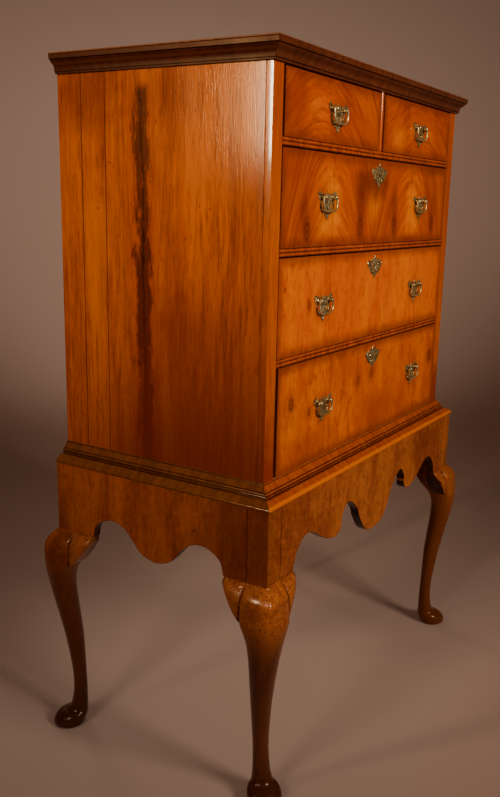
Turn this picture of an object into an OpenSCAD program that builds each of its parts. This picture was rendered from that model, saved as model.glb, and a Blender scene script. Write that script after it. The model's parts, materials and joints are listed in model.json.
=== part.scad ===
// Tall chest of drawers on a low stand with cabriole legs.
// Origin: on the floor, under the middle of the stand. +X right, -Y front, +Z up. Millimetres.

/* [Upper case] */
// Width of the case across its sides
case_w = 950; // [880:5:1020]
// Depth of the case from the front edge to the back boards
case_d = 536; // [500:2:570]
// Thickness of the side boards
side_t = 20; // [16:1:24]
// Thickness of the top board
top_t = 24; // [18:1:30]
// Thickness of the bottom board
bottom_t = 20; // [16:1:24]
// Height of the bottom board's underside above the stand
bottom_rise = 25; // [18:1:30]
// Thickness of the back boards
back_t = 12; // [9:1:16]
// Number of back boards
back_n = 3; // [2:1:5]
// Shrinkage gap between the back boards
back_gap = 1.5; // [0.5:0.5:3]
// Depth of the rebate that the back boards sit in
rebate_w = 10; // [6:1:14]

/* [Front frame] */
// Width of the stiles that face the sides
stile_w = 36; // [32:1:44]
// Thickness of the stiles
stile_t = 16; // [12:1:20]
// Height of the rails between the drawers
rail_h = 16; // [14:1:20]
// Depth of the rails from front to back
rail_d = 70; // [50:2:90]
// Thickness of the bead moulding glued to a rail
bead_t = 5; // [4:0.5:7]
// Radius of each of its two beads
bead_r = 3.2; // [2.6:0.1:3.4]
// How far the beads stand out in front of the stiles
bead_proud = 1.6; // [0.5:0.1:2.4]
// Width of the round-fronted post between the two short drawers
divider_w = 14; // [12:1:20]

/* [Drawer openings] */
// Height of the opening of the two short drawers
open_top = 128; // [110:1:150]
// Height of the opening of the upper long drawer
open_upper = 192; // [170:1:210]
// Height of the opening of the middle long drawer
open_middle = 201; // [180:1:220]
// Height of the opening of the lower long drawer
open_lower = 230; // [200:1:250]

/* [Drawers] */
// Thickness of the drawer fronts
front_t = 20; // [18:1:24]
// Thickness of the drawer sides
dside_t = 10; // [8:1:13]
// Thickness of the drawer back
dback_t = 10; // [8:1:13]
// Thickness of the drawer bottom
dbottom_t = 8; // [6:1:10]
// Free space between a closed drawer and the back boards
drawer_room = 24; // [15:1:80]
// Height of the drawer bottom above the lower edge of the sides
dbottom_lift = 8; // [7:1:12]
// Depth of the grooves that hold the drawer bottom
groove_d = 4; // [3:0.5:5]
// How far the sides stay below the top of the front
side_drop = 6; // [4:1:12]
// Gap at the right end of a drawer front
end_gap = 1.5; // [1:0.1:2.5]
// Gap at the left end of the two short drawers' fronts, which are worn narrow
gap_top = 7; // [1:0.5:9]
// Gap at the left end of the upper long drawer's front
gap_upper = 3; // [1:0.5:6]
// Gap at the left end of the middle long drawer's front
gap_middle = 1.5; // [1:0.5:6]
// Gap at the left end of the lower long drawer's front
gap_lower = 10; // [1:0.5:14]
// Gap above a drawer front
head_gap = 3; // [2:0.5:4]
// Running gap under a drawer
run_gap = 0.6; // [0.4:0.1:1.2]
// Length of a dovetail
tail_len = 12; // [9:1:14]
// Width of a dovetail at its root
tail_w = 26; // [20:1:32]
// How much a dovetail spreads on each side
tail_flare = 3; // [2:0.5:5]

/* [Runners, guides and stops] */
// Width of a side runner
runner_w = 40; // [30:1:50]
// Width of the runner under the two short drawers
centre_runner_w = 90; // [70:2:110]
// Height of a drawer guide
guide_h = 20; // [14:1:26]
// Length of a drawer stop
stop_len = 40; // [25:1:60]
// Depth of a drawer stop
stop_d = 12; // [8:1:16]
// Height of a drawer stop
stop_h = 5; // [4:0.5:6]
// Distance of a stop from the end of its opening
stop_inset = 70; // [50:2:100]

/* [Cornice and waist mouldings] */
// Height of the cornice
cornice_h = 40; // [34:1:46]
// How far the cornice stands out at its top
cornice_out = 25; // [18:1:32]
// Height of the waist moulding
waist_h = 45; // [42:1:52]
// How far the waist moulding stands out past the stand
waist_lip = 3; // [2:0.5:6]

/* [Stand] */
// Height of the stand, floor to the underside of the case
stand_h = 671; // [640:1:700]
// How far the stand stands out past the case at the front and sides
stand_over = 36; // [30:1:42]
// Height of the top of the knees above the floor
knee_h = 512; // [480:1:530]
// Width of the square corner posts
post_w = 50; // [44:1:58]
// Thickness of the aprons
apron_t = 22; // [18:1:26]
// Height of the front apron's arches above the top of the knees
front_arch_h = 78; // [60:1:86]
// Height of the side aprons' arches above the top of the knees
side_arch_h = 52; // [40:1:60]
// Depth of the back rail
back_rail_h = 110; // [90:2:130]
// How far the knee swells past the post's corner, along the diagonal
knee_swell = 35; // [28:1:40]
// How far the top of the shin stands out past the post's corner
shin_out = 19; // [12:1:26]
// How far the back of the leg is inside the post's corner there
shin_in = 38; // [30:1:46]
// How far the front of the leg is inside the post's corner half way down
calf_out = 5; // [0:1:12]
// How far the back of the leg is inside the post's corner there
calf_in = 50; // [42:1:58]
// How far the front of the ankle is inside the post's corner
ankle_out = 23; // [18:1:28]
// Diameter of the ankle
ankle_d = 33; // [28:1:38]
// Radius of the pad foot
pad_r = 38; // [35:1:42]
// Distance from the post's outer corner in to the middle of the pad foot, along the diagonal
pad_in = 11; // [8:1:16]
// Height of the pad foot
pad_h = 40; // [34:1:46]
// How far the left front foot, which is set out of true, stands in towards the middle
lean_in = 20; // [0:1:24]
// Height on the left front leg from which it leans
lean_from = 300; // [200:10:400]
// Reach of a knee block past the post
ear_len = 54; // [46:1:62]
// Height of a knee block
ear_h = 78; // [66:1:88]
// Width of the bearers inside the aprons
bearer_w = 40; // [34:1:46]
// Height of the bearers
bearer_h = 28; // [20:1:36]

/* [Handles] */
// Distance between the two posts of a handle
bore_span = 44; // [42:1:52]
// Height of the posts above the middle of the opening
handle_rise = 4; // [0:1:8]
// Distance of a long drawer's handles from the middle of its brasses
handle_x = 252; // [220:1:280]
// How far the lower drawer's brasses stand to the right of the middle of the case
lower_shift = 15; // [0:1:25]
// Height of the lower drawer's posts above the middle of its opening
lower_rise = 11; // [0:1:15]
// Thickness of the backplate
plate_t = 1.5; // [1:0.1:2]
// Half the width of the backplate
plate_half = 41; // [39:1:50]
// How far a backplate's drop hangs below the line of the posts
plate_drop = 46; // [42:1:52]
// Distance of the bail's pivot from the drawer front
pivot_out = 9; // [8.5:0.5:12]
// Radius of a post's round head
head_r = 5.5; // [5:0.1:6]
// Radius of a post's shank
shank_r = 3; // [2.5:0.1:3.5]
// Radius of the nut behind the drawer front
nut_r = 6.5; // [5:0.1:8]
// Thickness of the nut
nut_t = 4; // [3:0.5:5]
// Radius of the bail rod
bail_r = 2.1; // [1.9:0.1:2.4]
// Radius of the bail's pivot pins
pin_r = 1.6; // [1.4:0.1:1.8]
// Drop of the bail from its pivot to the middle of its grip
bail_drop = 28; // [25:1:34]
// Radius of the bail's lower corners
bail_bend = 16; // [12:1:20]

/* [Keyhole plates and locks] */
// Distance of the keyhole below the top of its opening
key_drop = 38; // [34:1:44]
// Half the height of a keyhole plate
key_plate_half = 28; // [24:1:32]
// Half the width of a keyhole plate
key_plate_w = 40; // [34:1:44]
// Radius of the round part of a keyhole
key_r = 3.2; // [2.5:0.1:4]
// Width of the slot below it
key_slot_w = 3; // [2:0.5:4]
// Length of the slot below it
key_slot_h = 9; // [6:1:12]
// Width of a lock
lock_w = 64; // [50:2:80]
// Height of a lock
lock_h = 60; // [54:1:70]
// Thickness of a lock
lock_t = 7; // [6.5:0.5:9]
// How deep a lock is let into the drawer front
lock_let = 5; // [4:0.5:6]
// Width of a lock bolt
bolt_w = 18; // [12:1:24]
// Thickness of a lock bolt
bolt_t = 3.6; // [3:0.1:4]
// Height of a lock bolt
bolt_h = 22; // [18:1:26]
// Travel of a lock bolt
bolt_travel = 9; // [8:0.5:10]

/* [Clearances] */
// Open line left in a glued joint between pieces of one node
glue_line = 0.2; // [0.1:0.1:0.5]
// Clearance of a shank or lock in its hole
hole_fit = 0.3; // [0.2:0.1:0.5]
// Radial running clearance of a bail pin in its post
pin_fit = 0.08; // [0.05:0.01:0.1]
// Clearance round a lock bolt
bolt_fit = 0.25; // [0.2:0.05:0.4]
// Clearance of a drawer bottom in its grooves
panel_fit = 0.1; // [0.05:0.05:0.3]
// Gap between a drawer front and its stops
stop_gap = 0.3; // [0.2:0.1:0.6]

/* [Hidden] */
$fn = 48;

walnut = [0.52, 0.24, 0.08];
dark_walnut = [0.33, 0.14, 0.06];
bright_walnut = [0.72, 0.36, 0.10];
pine = [0.66, 0.50, 0.32];
oak = [0.60, 0.44, 0.27];
old_brass = [0.62, 0.50, 0.28];
old_iron = [0.28, 0.26, 0.25];

// Plan of the stand and the case
stand_w = case_w + 2 * stand_over;
stand_d = case_d + stand_over;
case_x = case_w / 2;
case_front = -stand_d / 2 + stand_over;
case_back = stand_d / 2;
open_x = case_x - stile_w;
inner_x = case_x - side_t;
inner_back = case_back - back_t;
rail_back = case_front + rail_d;

// Heights, from the floor up
z_floor = stand_h + bottom_rise;
z_lower = z_floor + bottom_t;
z_middle = z_lower + open_lower + rail_h;
z_upper = z_middle + open_middle + rail_h;
z_top = z_upper + open_upper + rail_h;
z_ceiling = z_top + open_top;
z_board = z_ceiling + rail_h;
total_h = z_board + top_t;

// Each drawer opening: [left, right, bottom, top], then the gap at its drawer's left end,
// how far its brasses stand to the right of the middle, and its handles' rise
TOP_LEFT = [-open_x, -divider_w / 2, z_top, z_ceiling, gap_top, 0, handle_rise];
TOP_RIGHT = [divider_w / 2, open_x, z_top, z_ceiling, gap_top, 0, handle_rise];
UPPER = [-open_x, open_x, z_upper, z_upper + open_upper, gap_upper, 0, handle_rise];
MIDDLE = [-open_x, open_x, z_middle, z_middle + open_middle, gap_middle, 0, handle_rise];
LOWER = [-open_x, open_x, z_lower, z_lower + open_lower, gap_lower, lower_shift, lower_rise];

// Where a drawer's pieces are
front_back = case_front + front_t;
drawer_end = inner_back - drawer_room;
function left_of(o) = o[0] + o[4];
function right_of(o) = o[1] - end_gap;
function foot_of(o) = o[2] + run_gap;
function head_of(o) = o[3] - head_gap;
function middle_x(o) = (left_of(o) + right_of(o)) / 2;
function post_z(o) = (o[2] + o[3]) / 2 + o[6];
function key_z(o) = o[3] - key_drop;

// Smooth curve through the points of a list, n steps between each pair
function curve_point(a, b, c, d, t) =
    0.5 * (2 * b + (c - a) * t + (2 * a - 5 * b + 4 * c - d) * t * t
        + (3 * b - a - 3 * c + d) * t * t * t);
function smooth(p, n) = concat(
    [for (i = [0 : len(p) - 2], k = [0 : n - 1])
        curve_point(p[max(i - 1, 0)], p[i], p[i + 1], p[min(i + 2, len(p) - 1)], k / n)],
    [p[len(p) - 1]]);
// The same outline closed by its mirror image
function both_sides(p) = concat(
    [for (i = [len(p) - 1 : -1 : 0]) [-p[i][0], p[i][1]]],
    [for (i = [0 : len(p) - 1]) if (p[i][0] > 0.001) p[i]]);
function arc(cx, cy, r, a0, a1, n) =
    [for (i = [0 : n]) [cx + r * cos(a0 + (a1 - a0) * i / n), cy + r * sin(a0 + (a1 - a0) * i / n)]];

module box(a, b) {
    translate(a) cube(b - a);
}

module both() {
    children();
    mirror([1, 0, 0]) children();
}

// ---------- Upper case ----------

module case_side() {
    color(walnut) difference() {
        box([inner_x, case_front + stile_t, stand_h], [case_x, case_back, z_board]);
        box([inner_x - 1, inner_back, stand_h - 1], [inner_x + rebate_w, case_back + 1, z_board + 1]);
    }
}

module case_top() {
    color(walnut) box([-case_x, case_front, z_board], [case_x, case_back, total_h]);
}

// A board between the sides whose front part is cut back to fit between the stiles
module lapped_board(z0, z1, y0, y1) {
    box([-open_x, y0, z0], [open_x, case_front + stile_t, z1]);
    box([-inner_x, case_front + stile_t, z0], [inner_x, y1, z1]);
}

module case_bottom() {
    color(pine) lapped_board(z_floor, z_lower, case_front, inner_back);
}

module back_boards() {
    back_x = inner_x + rebate_w;
    board_w = (2 * back_x - (back_n - 1) * back_gap) / back_n;
    color(pine) for (i = [0 : back_n - 1]) {
        x0 = -back_x + i * (board_w + back_gap);
        box([x0, inner_back, stand_h], [x0 + board_w, case_back, z_board]);
    }
}

module stiles() {
    color(walnut) both()
        box([open_x, case_front, stand_h], [case_x, case_front + stile_t, z_board]);
}

// Slot in the underside of the rail over a drawer for its lock bolt
module bolt_mortise(o) {
    slot = bolt_w / 2 + 4 * bolt_fit;
    rise = bolt_travel - head_gap + 1;
    box([o[5] - slot, bolt_y - 2 * bolt_fit, o[3] - 1],
        [o[5] + slot, bolt_y + bolt_t + 2 * bolt_fit, o[3] + rise]);
}

module drawer_rails() {
    color(pine) {
        for (o = [UPPER, MIDDLE, LOWER])
            difference() {
                lapped_board(o[3], o[3] + rail_h, case_front + bead_t, rail_back);
                bolt_mortise(o);
            }
        lapped_board(z_ceiling, z_board, case_front, rail_back);
    }
}

module rail_beads() {
    bead_y = case_front - bead_proud + bead_r;
    color(dark_walnut) for (z = [UPPER[3], MIDDLE[3], LOWER[3]]) {
        box([-open_x, case_front + 0.5, z], [open_x, case_front + bead_t, z + rail_h]);
        for (side = [-1, 1])
            translate([-open_x, bead_y, z + rail_h / 2 + side * (rail_h / 2 - bead_r - 0.8)])
                rotate([0, 90, 0]) cylinder(r = bead_r, h = 2 * open_x);
    }
}

module top_divider() {
    round_y = case_front - bead_proud + divider_w / 2;
    color(walnut) {
        box([-divider_w / 2, round_y, z_top], [divider_w / 2, rail_back, z_ceiling]);
        translate([0, round_y, z_top]) cylinder(r = divider_w / 2, h = open_top);
    }
}

module runners_and_guides() {
    color(pine) {
        for (z = [z_top, z_upper, z_middle])
            both() box([inner_x - runner_w, rail_back, z - rail_h], [inner_x, inner_back, z]);
        box([-centre_runner_w / 2, rail_back, z_top - rail_h], [centre_runner_w / 2, inner_back, z_top]);
        for (z = [z_top, z_upper, z_middle, z_lower])
            both() box([open_x, case_front + stile_t, z + glue_line], [inner_x, inner_back, z + guide_h]);
        box([-divider_w / 2, rail_back, z_top + glue_line], [divider_w / 2, inner_back, z_top + guide_h]);
    }
}

module drawer_stops() {
    y0 = front_back + stop_gap;
    color(oak) for (o = [TOP_LEFT, TOP_RIGHT, UPPER, MIDDLE, LOWER], x = [o[0] + stop_inset, o[1] - stop_inset])
        box([x - stop_len / 2, y0, o[2]], [x + stop_len / 2, y0 + stop_d, o[2] + stop_h]);
}

// ---------- Mouldings ----------

// Sections as [distance out, height] from the face of the case
cornice_z = total_h - cornice_h;
cornice_section = concat(
    [[0, cornice_z], [6, cornice_z], [6, cornice_z + 4], [8, cornice_z + 4]],
    smooth([[8, cornice_z + 6], [10, cornice_z + 15], [18, cornice_z + 22], [21, cornice_z + 27]], 4),
    [[cornice_out - 1, cornice_z + 27], [cornice_out - 1, total_h - 4], [cornice_out, total_h - 3],
    [cornice_out, total_h - 1], [cornice_out - 1, total_h], [0, total_h]]);

waist_top = stand_h + waist_h;
waist_out = stand_over + waist_lip;
waist_section = concat(
    [[0, stand_h], [stand_over, stand_h], [waist_out, stand_h + 3]],
    arc(waist_out - 4, stand_h + 5, 4, 0, 50, 4),
    [[waist_out - 8, stand_h + 13.3], [waist_out - 15.5, stand_h + 18.5]],
    [[waist_out - 16.5, stand_h + 19.5], [waist_out - 23, stand_h + 19.5], [waist_out - 23, stand_h + 23]],
    arc(waist_out - 26, stand_h + 27, 3.5, -55, 60, 6),
    [[waist_out - 26.5, stand_h + 31], [waist_out - 31.5, stand_h + 36.3]],
    [[max(2, waist_out - 36.5), waist_top - 3], [max(2, waist_out - 36.5), waist_top], [0, waist_top]]);

module front_length(section, reach) {
    intersection() {
        translate([-case_x - reach, case_front, 0]) rotate([90, 0, 90])
            linear_extrude(2 * (case_x + reach)) polygon([for (p = section) [-p[0], p[1]]]);
        linear_extrude(2 * total_h) polygon([
            [-case_x + glue_line, case_front], [case_x - glue_line, case_front],
            [case_x + reach - glue_line, case_front - reach], [-case_x - reach + glue_line, case_front - reach]]);
    }
}

module side_length(section, reach) {
    intersection() {
        translate([case_x, case_back, 0]) rotate([90, 0, 0])
            linear_extrude(case_d + reach) polygon(section);
        linear_extrude(2 * total_h) polygon([
            [case_x, case_front], [case_x + reach, case_front - reach],
            [case_x + reach, case_back], [case_x, case_back]]);
    }
}

module cornice() {
    color(dark_walnut) {
        front_length(cornice_section, cornice_out + 5);
        both() side_length(cornice_section, cornice_out + 5);
    }
}

module waist_moulding() {
    color(bright_walnut) {
        front_length(waist_section, waist_out + 5);
        both() side_length(waist_section, waist_out + 5);
    }
}

// ---------- Stand ----------

// Leg sections, from the knee down, along the diagonal through the post's outer corner:
// [height, outer edge, inner edge, width as a share of the depth,
// roundness of the outer half, roundness of the inner half: 1 = square on its corner, 2 = round]
post_diagonal = post_w * sqrt(2);
ankle_in = -ankle_out - ankle_d;
pad_out = pad_r - pad_in;
leg_keys = [
    [knee_h, 0, -post_diagonal, 1, 1.02, 1.02],
    [knee_h * 0.984, knee_swell * 0.36, -post_diagonal, 1, 1.1, 1.02],
    [knee_h * 0.957, knee_swell * 0.76, -post_diagonal, 1, 1.18, 1.02],
    [knee_h * 0.925, knee_swell * 0.96, -post_diagonal, 1, 1.22, 1.02],
    [knee_h * 0.885, knee_swell, -post_diagonal, 1, 1.25, 1.02],
    [knee_h * 0.840, knee_swell * 0.97, -post_diagonal * 0.74, 1.2, 1.5, 1.3],
    [knee_h * 0.780, knee_swell * 0.86, -post_diagonal * 0.54, 1.22, 1.7, 1.6],
    [knee_h * 0.680, shin_out, -shin_in, 1.15, 1.85, 1.8],
    [knee_h * 0.480, -calf_out, -calf_in, 1.05, 1.95, 1.95],
    [knee_h * 0.290, -ankle_out * 0.91, ankle_in * 0.965, 1.09, 2, 2],
    [knee_h * 0.185, -ankle_out, ankle_in, 1.09, 2, 2],
    [knee_h * 0.115, -ankle_out * 0.78, ankle_in, 1.08, 2, 2],
    [pad_h, -ankle_out * 0.4, ankle_in, 1.04, 2, 2],
    [pad_h * 0.87, pad_out - pad_r * 0.55, ankle_in, 1, 2, 2],
    [pad_h * 0.66, pad_out - pad_r * 0.21, ankle_in * 0.98, 1, 2, 2],
    [pad_h * 0.4, pad_out - pad_r * 0.03, -pad_in - pad_r * 1.04, 1, 2, 2],
    [pad_h * 0.22, pad_out, -pad_in - pad_r, 1, 2, 2],
    [pad_h * 0.08, pad_out - pad_r * 0.08, -pad_in - pad_r * 0.92, 1, 2, 2],
    [0, pad_out - pad_r * 0.21, -pad_in - pad_r * 0.79, 1, 2, 2]
];
ring_n = 24;

function signed_power(v, p) = sign(v) * pow(abs(v), p);
function leg_ring(k, lean) =
    let (inner = max(k[2], -post_diagonal + 1), mid = (k[1] + inner) / 2, half = (k[1] - inner) / 2,
        fall = pow(max(0, 1 - k[0] / lean_from), 1.4),
        across = k[0] > knee_h * 0.88 ? half : half * k[3])
    [for (i = [0 : ring_n - 1])
        let (a = 360 * i / ring_n, p = 2 / max(1, cos(a) < 0 ? k[5] : k[4]),
            u = mid + half * signed_power(cos(a), p),
            v = across * signed_power(sin(a), p))
        [(u - v) / sqrt(2) - lean * fall, (u + v) / sqrt(2), k[0]]];

// Rings joined into one closed skin, first ring at the top
module skin(rings) {
    n = len(rings[0]);
    last = len(rings) - 1;
    polyhedron(
        points = [for (r = rings, p = r) p],
        faces = concat(
            [[for (i = [n - 1 : -1 : 0]) i]],
            [for (j = [0 : last - 1], i = [0 : n - 1]) each [
                [j * n + i, j * n + (i + 1) % n, (j + 1) * n + (i + 1) % n],
                [j * n + i, (j + 1) * n + (i + 1) % n, (j + 1) * n + i]]],
            [[for (i = [0 : n - 1]) last * n + i]]),
        convexity = 6);
}

// One leg with its post, the post's outer corner at the origin and the knee towards +X +Y
module corner_leg(lean) {
    skin([for (k = smooth(leg_keys, 2)) leg_ring(k, lean)]);
    translate([-post_w, -post_w, knee_h]) cube([post_w, post_w, stand_h - knee_h]);
}

// Puts a corner piece on the corner given by its signs
module at_corner(sx, sy) {
    translate([sx * stand_w / 2, sy * stand_d / 2, 0])
        mirror([sx < 0 ? 1 : 0, 0, 0]) mirror([0, sy < 0 ? 1 : 0, 0]) children();
}

module leg(sx, sy, lean = 0) {
    color(dark_walnut) at_corner(sx, sy) corner_leg(lean);
}

// How far the knee's face stands out at each height: the side corner of the leg's section
knee_line = [for (k = smooth(leg_keys, 2)) [k[0], k[1] / sqrt(2)]];

// A knee block fills the angle between the post and the apron, and thins towards its tip
module knee_block() {
    ns = 8;
    nz = 7;
    function under(s) = knee_h - ear_h * (1 - 0.83 * pow(s, 1.35));
    function height(s, j) = under(s) + (knee_h - under(s)) * j / nz;
    function outer(s, z) = let (q = (knee_h - z) / (knee_h - under(s)))
        lookup(z, knee_line) * (1 - 0.25 * s * s) * (1 - 0.35 * s * pow(q, 4));
    function front(i, j) = let (s = i / ns, z = height(s, j)) [-post_w - s * ear_len, outer(s, z), z];
    function rear(i, j) = let (s = i / ns) [-post_w - s * ear_len, -apron_t, height(s, j)];
    // Each ring goes up the outer face and down the inner one
    rings = [for (i = [0 : ns]) concat([for (j = [0 : nz]) front(i, j)], [rear(i, nz), rear(i, 0)])];
    skin(rings);
}

module knee_blocks() {
    color(dark_walnut) for (sx = [-1, 1], sy = [-1, 1]) at_corner(sx, sy) {
        // The back rail is plain, so the back legs have none on their back faces
        if (sy < 0) knee_block();
        mirror([1, -1, 0]) knee_block();
    }
}

// Lower edges of the aprons from the middle out to the post, drawn for this stand's size:
// [distance from the middle, height above the top of the knees]. The two drawn sizes are the
// middle-to-post width and the height of the arches
front_drawn = [461, 78];
front_edge = smooth([[0, -34], [48, -25], [86, 17], [104, 48], [150, 78], [180, 56], [187, 24],
    [215, 12], [262, 24], [340, 64], [388, 42], [407, 0]], 5);
side_drawn = [236, 52];
side_edge = smooth([[0, -18], [40, -5], [84, 40], [128, 52], [168, 32], [179, 0]], 6);

module apron(half, arch_h, drawn, edge) {
    kx = half / drawn[0];
    kz = arch_h / drawn[1];
    outline = concat([for (p = edge) [p[0] * kx, knee_h + p[1] * kz]],
        [[half, knee_h], [half, stand_h], [0, stand_h]]);
    rotate([90, 0, 0]) linear_extrude(apron_t) polygon(both_sides(outline));
}

module apron_front() {
    color(walnut) translate([0, -stand_d / 2 + apron_t, 0])
        apron(stand_w / 2 - post_w, front_arch_h, front_drawn, front_edge);
}

module apron_side() {
    color(walnut) translate([stand_w / 2 - apron_t, 0, 0]) rotate([0, 0, 90])
        apron(stand_d / 2 - post_w, side_arch_h, side_drawn, side_edge);
}

module back_rail() {
    x = stand_w / 2 - post_w;
    color(pine) box([-x, stand_d / 2 - apron_t, stand_h - back_rail_h], [x, stand_d / 2, stand_h]);
}

module bearers() {
    x = stand_w / 2 - post_w;
    y = stand_d / 2 - apron_t;
    color(pine) {
        for (side = [0, 1]) mirror([0, side, 0])
            box([-x, -y, stand_h - bearer_h], [x, -y + bearer_w, stand_h]);
        both() box([stand_w / 2 - apron_t - bearer_w, -y + bearer_w + glue_line, stand_h - bearer_h],
            [stand_w / 2 - apron_t, y - bearer_w - glue_line, stand_h]);
    }
}

// ---------- Drawers ----------

// One row of dovetails on the front end of a drawer's left side, seen from the side
module tails(o) {
    h = side_top(o) - foot_of(o);
    n = max(2, floor(h / (2.1 * tail_w)));
    pitch = h / n;
    for (i = [0 : n - 1])
        translate([left_of(o), 0, foot_of(o) + (i + 0.5) * pitch]) rotate([90, 0, 90])
            linear_extrude(dside_t) polygon([
                [front_back, -tail_w / 2], [front_back, tail_w / 2],
                [front_back - tail_len, tail_w / 2 + tail_flare],
                [front_back - tail_len, -tail_w / 2 - tail_flare]]);
}

function side_top(o) = head_of(o) - side_drop;

// The same thing at the other end of the drawer
module at_both_ends(o) {
    children();
    translate([left_of(o) + right_of(o), 0, 0]) mirror([1, 0, 0]) children();
}

module drawer_bottom(o) {
    z0 = foot_of(o) + dbottom_lift;
    x0 = left_of(o) + dside_t - groove_d + panel_fit;
    x1 = right_of(o) - dside_t + groove_d - panel_fit;
    y0 = front_back - groove_d + panel_fit;
    color(oak) box([x0, y0, z0 + panel_fit], [x1, drawer_end, z0 + dbottom_t - panel_fit]);
}

module drawer_side(o) {
    z0 = foot_of(o) + dbottom_lift;
    difference() {
        union() {
            box([left_of(o), front_back, foot_of(o)], [left_of(o) + dside_t, drawer_end, side_top(o)]);
            tails(o);
        }
        // The bottom's groove runs on into the dovetail in its way
        box([left_of(o) + dside_t - groove_d, front_back - groove_d, z0],
            [left_of(o) + dside_t + 1, drawer_end + 1, z0 + dbottom_t]);
    }
}

module drawer_box(o) {
    x0 = left_of(o) + dside_t + glue_line;
    x1 = right_of(o) - dside_t - glue_line;
    z0 = foot_of(o) + dbottom_lift + dbottom_t;
    color(oak) {
        at_both_ends(o) drawer_side(o);
        box([x0, drawer_end - dback_t, z0], [x1, drawer_end, side_top(o)]);
    }
}

// Middle line of each handle on a drawer
function handle_places(o) = o[1] - o[0] > open_x * 1.5 ? [o[5] - handle_x, o[5] + handle_x] : [middle_x(o)];
function is_locked(o) = len(handle_places(o)) > 1;

module keyhole(y0, y1) {
    translate([0, y1, 0]) rotate([90, 0, 0]) linear_extrude(y1 - y0) {
        circle(r = key_r);
        translate([-key_slot_w / 2, -key_slot_h]) square([key_slot_w, key_slot_h]);
    }
}

module drawer_front(o) {
    z0 = foot_of(o) + dbottom_lift;
    color(bright_walnut) difference() {
        box([left_of(o), case_front, foot_of(o)], [right_of(o), front_back, head_of(o)]);
        at_both_ends(o) tails(o);
        box([left_of(o) + dside_t - groove_d, front_back - groove_d, z0],
            [right_of(o) - dside_t + groove_d, front_back + 1, z0 + dbottom_t]);
        for (x = handle_places(o), side = [-1, 1])
            translate([x + side * bore_span / 2, front_back + 1, post_z(o)]) rotate([90, 0, 0])
                cylinder(r = shank_r + hole_fit, h = front_t + 2);
        if (is_locked(o)) {
            translate([o[5], 0, key_z(o)]) keyhole(case_front - 1, front_back);
            box([o[5] - lock_w / 2 - hole_fit, front_back - lock_let, head_of(o) - lock_h - hole_fit],
                [o[5] + lock_w / 2 + hole_fit, front_back + 1, head_of(o) + 1]);
        }
    }
}

// ---------- Handles ----------

// Outline of the pierced backplate, right half, from the spire round to the drop,
// drawn 43 wide and 49 deep: [across, up] from the line of the posts
plate_drawn = 43;
plate_deep = 49;
plate_edge = concat(
    smooth([[0, 14], [3, 8], [8, 6], [13, 9], [19, 8.5], [24, 6], [30, 11], [37, 14], [43, 8]], 3),
    smooth([[42, 0], [37, -4], [32, -7], [32, -16], [28, -26], [19, -33], [10, -37]], 3),
    smooth([[7, -40], [5, -44], [0, -49]], 2));
// The long opening on each side of its middle
plate_slot = smooth([[19, -7], [24, -8], [26, -14], [24, -21], [19, -26], [18, -20], [20, -13]], 2);

module backplate() {
    kx = plate_half / plate_drawn;
    kz = plate_drop / plate_deep;
    rotate([90, 0, 0]) linear_extrude(plate_t) difference() {
        polygon(both_sides([for (p = plate_edge) [p[0] * kx, p[1] * kz]]));
        for (side = [-1, 1]) {
            translate([side * bore_span / 2, 0]) circle(r = shank_r + hole_fit);
            translate([side * 37 * kx, 5 * kz]) circle(r = 2.5 * kx);
            translate([side * 10 * kx, -31 * kz]) circle(r = 1.8 * kx);
            polygon([for (p = plate_slot) [side * p[0] * kx, p[1] * kz]]);
        }
        translate([0, -40 * kz]) circle(r = 1.8 * kx);
    }
}

// One post, its axis towards -Y and its origin on the drawer front
module post() {
    collar = plate_t + 0.1;
    difference() {
        rotate([90, 0, 0]) rotate_extrude() difference() {
            union() {
                translate([0, -front_t - nut_t - 2]) square([shank_r, front_t + nut_t + 2 + pivot_out]);
                translate([0, collar]) square([head_r - 0.5, 1.2]);
                translate([0, pivot_out]) circle(r = head_r);
            }
            translate([-2 * head_r, -2 * front_t]) square([2 * head_r, 4 * front_t]);
        }
        translate([-head_r - 1, -pivot_out, 0]) rotate([0, 90, 0])
            cylinder(r = pin_r + pin_fit, h = 2 * head_r + 2);
    }
}

// The nut on the shank, inside the drawer
module nut() {
    translate([0, front_t + nut_t + 0.1, 0]) rotate([90, 0, 0]) difference() {
        cylinder(r = nut_r, h = nut_t, $fn = 8);
        translate([0, 0, -1]) cylinder(r = shank_r + 0.1, h = nut_t + 2);
    }
}

module backplates(o) {
    color(old_brass) for (x = handle_places(o)) translate([x, case_front, post_z(o)]) {
        backplate();
        for (side = [-1, 1]) translate([side * bore_span / 2, 0, 0]) {
            post();
            nut();
        }
    }
}

bail_x = bore_span / 2 + head_r + bail_r + 0.4;

module bail_half() {
    low = bail_drop - bail_bend;
    sphere_at = [bail_x, 0, 0];
    translate([bore_span / 2 - head_r, 0, 0]) rotate([0, 90, 0])
        cylinder(r = pin_r, h = bail_x - bore_span / 2 + head_r);
    translate(sphere_at) sphere(r = bail_r);
    translate([bail_x, 0, -low]) cylinder(r = bail_r, h = low);
    translate([bail_x - bail_bend, 0, -low]) rotate([90, 0, 0]) rotate([0, 0, -90])
        rotate_extrude(angle = 90) translate([bail_bend, 0]) circle(r = bail_r);
    translate([-0.01, 0, -bail_drop]) rotate([0, 90, 0]) cylinder(r = bail_r, h = bail_x - bail_bend + 0.02);
}

module bail(o, i) {
    color(old_brass) translate([handle_places(o)[i], case_front - pivot_out, post_z(o)])
        both() bail_half();
}

// ---------- Keyhole plates, locks and bolts ----------

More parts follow.
